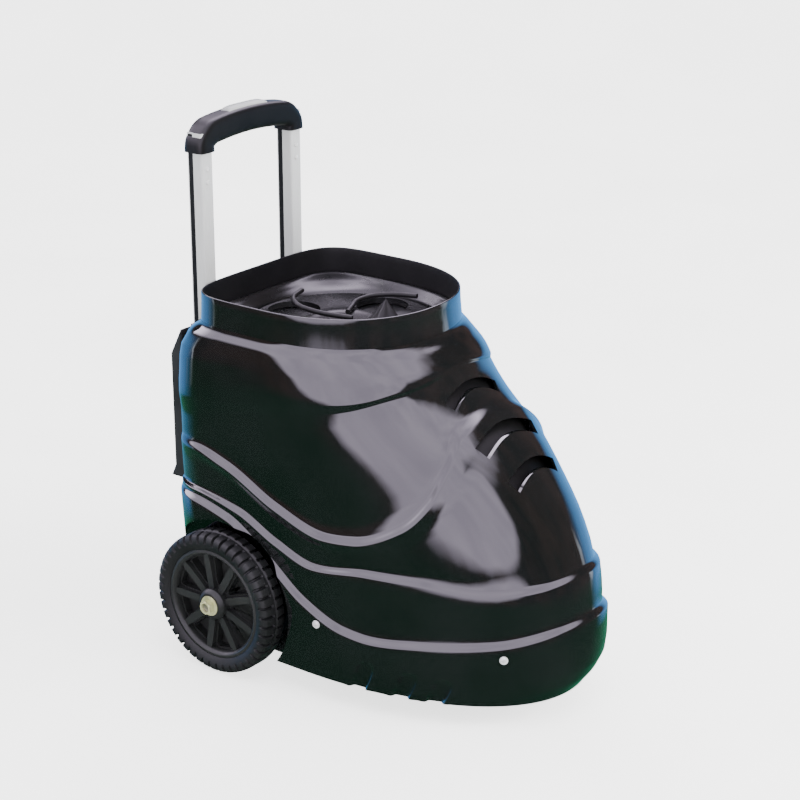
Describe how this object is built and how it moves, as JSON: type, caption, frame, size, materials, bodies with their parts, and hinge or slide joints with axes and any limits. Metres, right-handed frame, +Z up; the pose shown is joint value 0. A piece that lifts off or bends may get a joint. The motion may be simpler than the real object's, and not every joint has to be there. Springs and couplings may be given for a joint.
{
  "type": "tennis ball machine",
  "caption": "Wheeled ball machine with a glossy moulded body, open hopper collar, turntable feed, twin launch wheels and pull-out trolley handle.",
  "frame": {"origin": "on the ground, at the middle of the outline", "axes": "+Z up; the rounded vented nose faces -Y; the ball outlet, trolley handle and wheels are on the +Y side; +X is on the right of someone looking along +Y at the nose"},
  "size_m": [0.4322, 0.623, 0.741],
  "materials": {
    "shell": "glossy thermoformed black",
    "collar": "glossy black sheet",
    "bowl": "glossy black",
    "turntable": "matt black",
    "tray": "matt black",
    "housing": "satin black",
    "trim": "satin dark grey",
    "rubber": "matt",
    "tyre": "moulded treaded rubber",
    "wheel": "satin black",
    "grip": "satin black",
    "button": "satin grey",
    "tube": "satin anodised",
    "steel": "zinc-plated",
    "zinc": "yellow-passivated",
    "screw": "bright",
    "lens": "glossy dark display window",
    "rocker": "glossy red",
    "board": "green laminate"
  },
  "bodies": {
    "chassis": {"body_shell": "shell", "hopper_collar": "collar", "hopper_bowl": "bowl", "feed_motor": "steel", "drop_tube": "tray", "feed_trough": "trim", "base_tray": "tray", "axle_bracket_left": "steel", "axle_bracket_right": "steel", "front_foot_left": "rubber", "front_foot_right": "rubber", "mechanism_deck": "steel", "battery": "trim", "control_board": "board", "board_carrier": "trim", "yaw_motor": "trim", "outlet_housing": "housing", "outlet_frame": "trim", "rear_panel": "housing", "control_plate": "trim", "display_lens": "lens", "charge_socket": "housing", "axle": "steel", "hub_washer_left": "zinc", "hub_washer_right": "zinc", "axle_nut_left": "zinc", "axle_nut_right": "zinc", "shell_screw_side_left": "screw", "shell_screw_side_right": "screw", "shell_screw_nose_left": "screw", "shell_screw_nose_right": "screw", "tube_sleeve_left": "steel", "tube_sleeve_right": "steel"},
    "wheel_left": {"tyre_left": "tyre", "wheel_left": "wheel"},
    "wheel_right": {"tyre_right": "tyre", "wheel_right": "wheel"},
    "handle": {"handle_tube_left": "tube", "handle_tube_right": "tube", "handle_grip": "grip"},
    "grip_button": {"grip_button": "button"},
    "turntable": {"feed_turntable": "turntable", "deflector_cone": "turntable", "stirrer_rod_a": "rubber", "stirrer_rod_b": "rubber"},
    "yaw_fork": {"yaw_fork": "steel"},
    "launch_cradle": {"launch_cradle": "tube", "launch_motor_left": "steel", "launch_motor_right": "steel"},
    "launch_wheel_left": {"launch_shaft_left": "steel", "launch_wheel_left": "rubber"},
    "launch_wheel_right": {"launch_shaft_right": "steel", "launch_wheel_right": "rubber"},
    "power_rocker": {"power_rocker": "rocker"},
    "speed_button": {"speed_button": "button"},
    "feed_button": {"feed_button": "button"},
    "angle_button": {"angle_button": "button"},
    "timing_knob": {"timing_knob": "button"}
  },
  "joints": [
    {"name": "wheel_left_spin", "type": "hinge", "parent": "chassis", "child": "wheel_left", "pos_m": [-0.184, 0.1695, 0.1], "axis": [1, 0, 0], "continuous": true},
    {"name": "wheel_right_spin", "type": "hinge", "parent": "chassis", "child": "wheel_right", "pos_m": [0.184, 0.1695, 0.1], "axis": [1, 0, 0], "continuous": true},
    {"name": "handle_slide", "type": "slide", "parent": "chassis", "child": "handle", "axis": [0, 0, 1], "range_m": [-0.165, 0]},
    {"name": "grip_button_press", "type": "slide", "parent": "handle", "child": "grip_button", "axis": [0, 0, -1], "range_m": [0, 0.005], "stiffness_N_per_m": 400},
    {"name": "turntable_spin", "type": "hinge", "parent": "chassis", "child": "turntable", "pos_m": [0, 0.0985, 0.461], "axis": [0, 0, 1], "continuous": true},
    {"name": "launcher_yaw", "type": "hinge", "parent": "chassis", "child": "yaw_fork", "pos_m": [0, 0.1735, 0.152], "axis": [0, 0, 1], "range_deg": [-9, 9]},
    {"name": "launcher_pitch", "type": "hinge", "parent": "yaw_fork", "child": "launch_cradle", "pos_m": [0, 0.1735, 0.343], "axis": [1, 0, 0], "range_deg": [-4, 12]},
    {"name": "launch_wheel_left_spin", "type": "hinge", "parent": "launch_cradle", "child": "launch_wheel_left", "pos_m": [-0.074, 0.1735, 0.345], "axis": [0, 0, 1], "continuous": true},
    {"name": "launch_wheel_right_spin", "type": "hinge", "parent": "launch_cradle", "child": "launch_wheel_right", "pos_m": [0.074, 0.1735, 0.345], "axis": [0, 0, 1], "continuous": true},
    {"name": "power_rocker_tilt", "type": "hinge", "parent": "chassis", "child": "power_rocker", "pos_m": [0.037, 0.2865, 0.182], "axis": [1, 0, 0], "range_deg": [0, 12]},
    {"name": "timing_knob_turn", "type": "hinge", "parent": "chassis", "child": "timing_knob", "pos_m": [0.038, 0.2895, 0.14], "axis": [0, 1, 0], "range_deg": [-135, 135]},
    {"name": "speed_button_press", "type": "slide", "parent": "chassis", "child": "speed_button", "axis": [0, -1, 0], "range_m": [0, 0.0025], "stiffness_N_per_m": 500},
    {"name": "feed_button_press", "type": "slide", "parent": "chassis", "child": "feed_button", "axis": [0, -1, 0], "range_m": [0, 0.0025], "stiffness_N_per_m": 500},
    {"name": "angle_button_press", "type": "slide", "parent": "chassis", "child": "angle_button", "axis": [0, -1, 0], "range_m": [0, 0.0025], "stiffness_N_per_m": 500}
  ]
}
